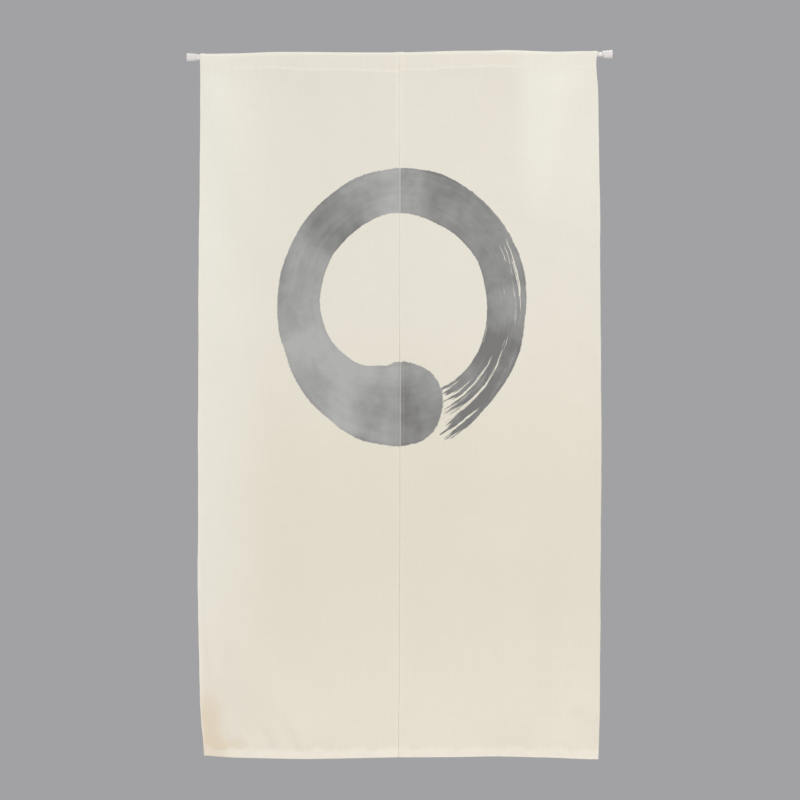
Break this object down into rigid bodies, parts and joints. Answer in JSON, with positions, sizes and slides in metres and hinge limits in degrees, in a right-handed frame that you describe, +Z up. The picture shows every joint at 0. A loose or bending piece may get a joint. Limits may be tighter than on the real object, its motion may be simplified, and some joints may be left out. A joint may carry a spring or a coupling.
{
  "type": "noren curtain on a tension rod",
  "caption": "Split doorway curtain of plain cloth panels sewn together at the top, hanging by its pocket from a telescoping tension rod.",
  "frame": {"origin": "centre of the left end cap's flat pad, on the rod's axis", "axes": "+X along the rod to the right as seen from the front, +Y towards the back, +Z up; the cloth hangs down -Z"},
  "size_m": [0.905, 0.0245, 1.5068],
  "materials": {
    "cloth": "matt plain weave, off-white",
    "tube": "satin white",
    "cap": "matt white"
  },
  "bodies": {
    "root": {"left_panel": "cloth", "right_panel": "cloth", "rod_outer_tube": "tube", "rod_inner_tube": "tube", "left_end_cap": "cap", "right_end_cap": "cap"}
  },
  "joints": []
}
